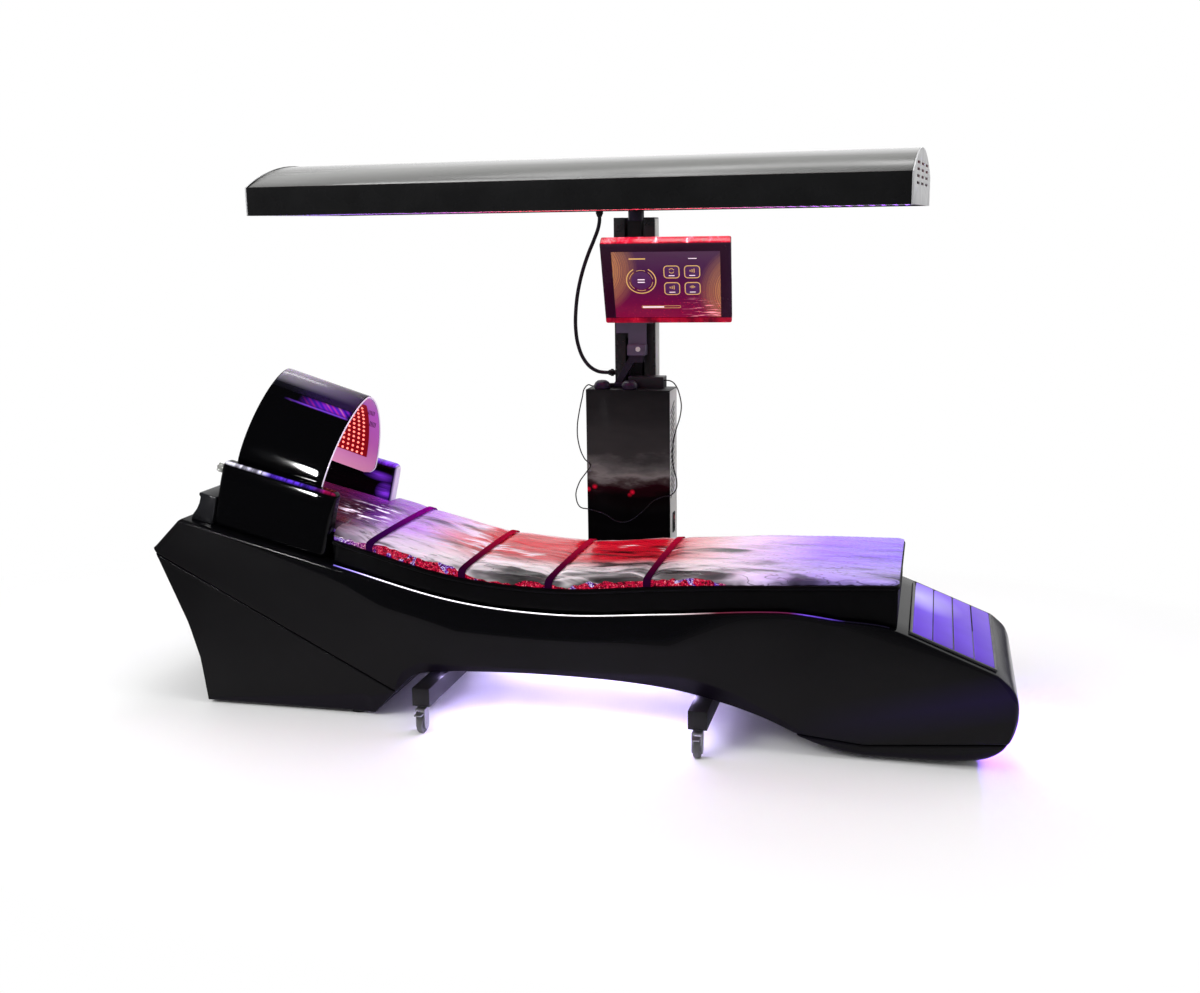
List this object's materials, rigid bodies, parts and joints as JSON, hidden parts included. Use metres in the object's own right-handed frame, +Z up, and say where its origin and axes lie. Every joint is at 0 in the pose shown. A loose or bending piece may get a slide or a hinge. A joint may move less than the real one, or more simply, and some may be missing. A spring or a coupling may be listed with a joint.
{
  "type": "red light therapy bed",
  "caption": "Lounger-shaped light therapy bed with face hood, domed lamp canopy on a lifting mast, control cabinet, tilting display and wheel beams.",
  "frame": {"origin": "on the floor, under the middle of the bounding box without the cords", "axes": "+X along the bed from head to foot, +Y from the open side towards the mast, +Z up"},
  "size_m": [2.4, 1.134, 1.5298],
  "materials": {
    "shell_black": "polished black moulding",
    "shell_satin": "satin black moulding",
    "steel_black": "black powder coat",
    "steel_dark": "dark grey powder coat",
    "rubber_foot": "black rubber",
    "lamp_strip": "milky lit diffuser",
    "tile_frame": "grey satin",
    "tile_light": "violet lit diffuser",
    "cushion_black": "black vinyl",
    "pad_grey": "pale padded cover",
    "film": "clear crinkled film",
    "strap": "woven strap",
    "liner": "pale lavender moulding",
    "led_red": "red lamp board",
    "pin_steel": "turned steel",
    "knob": "lobed grip",
    "cabinet_gloss": "black gloss panel",
    "vent_light": "light grey louvred plate",
    "supply": "bare casing",
    "inlet": "black insulating moulding",
    "rocker": "red rocker",
    "media": "dark casing",
    "phones": "dark violet casing",
    "cord": "black jacket",
    "screen": "lit display",
    "canopy_black": "black gloss side",
    "dome": "grey polished cover",
    "cap_grey": "silver grey",
    "board": "white lamp board",
    "lens": "clear lens",
    "wheel": "grey black tread",
    "pedal": "grey pedal"
  },
  "bodies": {
    "frame": {"main_shell": "shell_black", "head_plinth": "shell_satin", "foot_skirt": "shell_satin", "chassis": "steel_dark", "floor_frame": "steel_black", "level_feet": "rubber_foot", "light_strips": "lamp_strip", "tile_frame": "tile_frame", "foot_tiles": "tile_light", "head_cowl": "shell_satin", "mattress_base": "cushion_black", "mattress_pad": "pad_grey", "film_cover": "film", "straps": "strap", "wing_near": "shell_black", "wing_far": "shell_black", "base_plate": "steel_black", "mast": "steel_dark", "lift_actuator": "supply", "cabinet_body": "steel_black", "cabinet_front": "cabinet_gloss", "cabinet_vent": "vent_light", "power_supply": "supply", "power_inlet": "inlet", "media_box": "media", "headphones": "phones", "audio_cord": "cord", "monitor_bracket": "steel_black", "gland_low": "inlet"},
    "carriage": {"inner_column": "steel_dark", "neck_head": "steel_black", "gland_top": "inlet", "conduit": "cord"},
    "canopy": {"canopy_arm": "steel_black", "canopy_frame": "canopy_black", "canopy_dome": "dome", "canopy_end_caps": "cap_grey", "canopy_led_boards": "board", "canopy_lens": "lens"},
    "hood": {"hood_shell": "shell_black", "hood_liner": "liner", "hood_leds": "led_red", "hood_pins": "pin_steel"},
    "knob_near": {"hood_knob_near": "knob"},
    "knob_far": {"hood_knob_far": "knob"},
    "monitor_mount": {"monitor_arm": "steel_dark"},
    "monitor": {"monitor_housing": "shell_black", "monitor_screen": "screen"},
    "rocker": {"rocker_switch": "rocker"},
    "fan": {"fan_rotor": "inlet"},
    "caster_1": {"caster_1_fork": "steel_black"},
    "wheel_1": {"caster_1_wheel": "wheel"},
    "pedal_1": {"caster_1_pedal": "pedal"},
    "caster_2": {"caster_2_fork": "steel_black"},
    "wheel_2": {"caster_2_wheel": "wheel"},
    "pedal_2": {"caster_2_pedal": "pedal"},
    "caster_3": {"caster_3_fork": "steel_black"},
    "wheel_3": {"caster_3_wheel": "wheel"},
    "caster_4": {"caster_4_fork": "steel_black"},
    "wheel_4": {"caster_4_wheel": "wheel"}
  },
  "joints": [
    {"name": "lift_slide", "type": "slide", "parent": "frame", "child": "carriage", "axis": [0, 0, 1], "range_m": [0, 0.3], "deforming": ["conduit"]},
    {"name": "canopy_turn", "type": "hinge", "parent": "carriage", "child": "canopy", "pos_m": [0.035, 0.418, 1.44], "axis": [0, 0, 1], "range_deg": [-60, 60]},
    {"name": "hood_tilt", "type": "hinge", "parent": "frame", "child": "hood", "pos_m": [-0.9378, -0.193, 0.68091], "axis": [0, 1, 0], "range_deg": [-75, 0]},
    {"name": "knob_near_turn", "type": "hinge", "parent": "frame", "child": "knob_near", "pos_m": [-0.98148, -0.409, 0.69173], "axis": [-0.9707, 0, 0.2403], "range_deg": [0, 360]},
    {"name": "knob_far_turn", "type": "hinge", "parent": "frame", "child": "knob_far", "pos_m": [-0.98148, 0.023, 0.69173], "axis": [-0.9707, 0, 0.2403], "range_deg": [0, 360]},
    {"name": "monitor_turn", "type": "hinge", "parent": "frame", "child": "monitor_mount", "pos_m": [0.05, 0.355, 0.965], "axis": [0, 0, 1], "range_deg": [-18, 18]},
    {"name": "monitor_tilt", "type": "hinge", "parent": "monitor_mount", "child": "monitor", "pos_m": [0.162, 0.297, 1.207], "axis": [0.9925, 0.1219, 0], "range_deg": [-40, 4]},
    {"name": "rocker_tip", "type": "hinge", "parent": "frame", "child": "rocker", "pos_m": [0.166, 0.332, 0.434], "axis": [0, 1, 0], "range_deg": [0, 20]},
    {"name": "fan_spin", "type": "hinge", "parent": "frame", "child": "fan", "pos_m": [0.16, 0.333, 0.697], "axis": [1, 0, 0], "continuous": true},
    {"name": "swivel_1", "type": "hinge", "parent": "frame", "child": "caster_1", "pos_m": [-0.357, -0.515, 0.074], "axis": [0, 0, 1], "continuous": true},
    {"name": "roll_1", "type": "hinge", "parent": "caster_1", "child": "wheel_1", "pos_m": [-0.357, -0.533, 0.025], "axis": [1, 0, 0], "continuous": true},
    {"name": "brake_1", "type": "hinge", "parent": "caster_1", "child": "pedal_1", "pos_m": [-0.357, -0.543, 0.058], "axis": [1, 0, 0], "range_deg": [0, 12]},
    {"name": "swivel_2", "type": "hinge", "parent": "frame", "child": "caster_2", "pos_m": [0.407, -0.515, 0.074], "axis": [0, 0, 1], "continuous": true},
    {"name": "roll_2", "type": "hinge", "parent": "caster_2", "child": "wheel_2", "pos_m": [0.407, -0.533, 0.025], "axis": [1, 0, 0], "continuous": true},
    {"name": "brake_2", "type": "hinge", "parent": "caster_2", "child": "pedal_2", "pos_m": [0.407, -0.543, 0.058], "axis": [1, 0, 0], "range_deg": [0, 12]},
    {"name": "swivel_3", "type": "hinge", "parent": "frame", "child": "caster_3", "pos_m": [-0.357, 0.129, 0.074], "axis": [0, 0, 1], "continuous": true},
    {"name": "roll_3", "type": "hinge", "parent": "caster_3", "child": "wheel_3", "pos_m": [-0.357, 0.147, 0.025], "axis": [1, 0, 0], "continuous": true},
    {"name": "swivel_4", "type": "hinge", "parent": "frame", "child": "caster_4", "pos_m": [0.407, 0.129, 0.074], "axis": [0, 0, 1], "continuous": true},
    {"name": "roll_4", "type": "hinge", "parent": "caster_4", "child": "wheel_4", "pos_m": [0.407, 0.147, 0.025], "axis": [1, 0, 0], "continuous": true}
  ]
}
